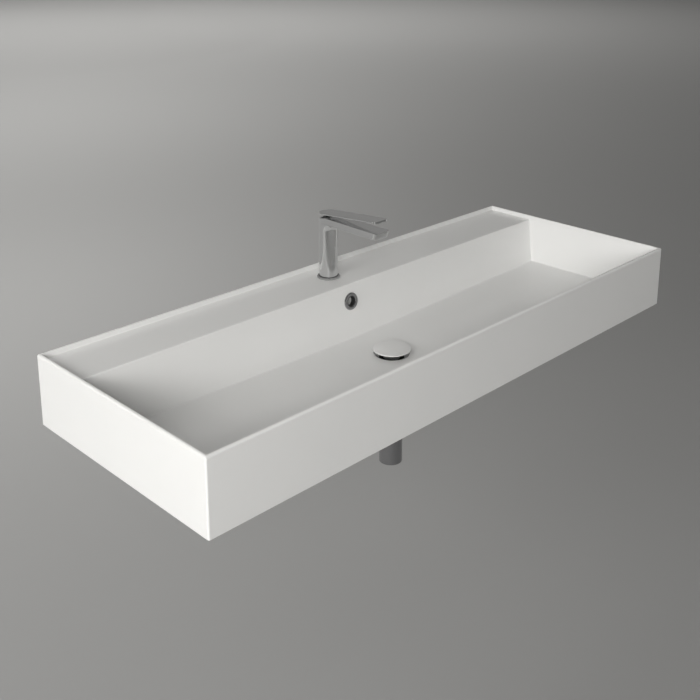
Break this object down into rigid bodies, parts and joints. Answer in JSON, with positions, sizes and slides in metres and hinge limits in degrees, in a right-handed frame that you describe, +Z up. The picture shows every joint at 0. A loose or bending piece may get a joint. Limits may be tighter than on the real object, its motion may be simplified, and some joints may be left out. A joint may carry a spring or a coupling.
{
  "type": "wall hung washbasin with mixer tap",
  "caption": "Long rectangular wall hung ceramic washbasin with a rear tap ledge, a single lever mixer tap, an overflow ring and a push open waste with a tail pipe.",
  "frame": {"origin": "midway between the two wall fixing holes, on the wall plane", "axes": "+X along the wall to the right as the user faces it, +Y into the wall, +Z up; the basin's front faces -Y"},
  "size_m": [1.2, 0.45, 0.4816],
  "materials": {
    "glazed_ceramic": "satin white glaze",
    "chrome": "polished",
    "cap_finish": "satin white",
    "brass": "turned",
    "steel": "zinc plated",
    "rubber": "matt",
    "white_plastic": "moulded",
    "black_plastic": "moulded",
    "disc_ceramic": "lapped"
  },
  "bodies": {
    "fixed": {"basin": "glazed_ceramic", "overflow_duct": "glazed_ceramic", "overflow_ring": "chrome", "waste_body": "chrome", "flange_gasket": "rubber", "under_gasket": "rubber", "waste_washer": "white_plastic", "waste_nut": "brass", "tail_gasket": "rubber", "tail_pipe": "chrome", "click_housing": "white_plastic", "click_nut": "brass", "click_spring": "steel", "tap_body": "chrome", "base_seal": "rubber", "base_ring": "chrome", "fixing_stud": "steel", "fixing_gasket": "rubber", "fixing_washer": "steel", "fixing_nut": "brass", "aerator_gasket": "rubber", "aerator_insert": "white_plastic", "aerator_housing": "chrome", "cartridge_seals": "rubber", "cartridge_housing": "white_plastic", "fixed_disc": "disc_ceramic", "cartridge_nut": "black_plastic"},
    "plug": {"plug_cap": "cap_finish", "plug_seal": "rubber", "plug_stem": "white_plastic"},
    "turret": {"cartridge_carrier": "white_plastic", "cartridge_cover": "black_plastic", "spindle_pin": "steel"},
    "lever_arm": {"lever": "chrome", "lever_spindle": "steel", "lever_screw": "steel"},
    "disc": {"moving_disc": "disc_ceramic"}
  },
  "joints": [
    {"name": "lever_turn", "type": "hinge", "parent": "fixed", "child": "turret", "pos_m": [0, -0.0556, 0.178], "axis": [0, 0, 1], "range_deg": [-45, 45]},
    {"name": "lever_lift", "type": "hinge", "parent": "turret", "child": "lever_arm", "pos_m": [0, -0.0556, 0.178], "axis": [-1, 0, 0], "range_deg": [0, 22]},
    {"name": "disc_slide", "type": "slide", "parent": "turret", "child": "disc", "axis": [0, -1, 0], "range_m": [0, 0.0036]},
    {"name": "plug_push", "type": "slide", "parent": "fixed", "child": "plug", "axis": [0, 0, 1], "range_m": [-0.007, 0], "stiffness_N_per_m": 400, "springref_m": 0.01, "deforming": ["click_spring"]}
  ],
  "couplings": [
    {"joint": "disc_slide", "follows": "lever_lift", "m_per_rad": 0.0092}
  ]
}
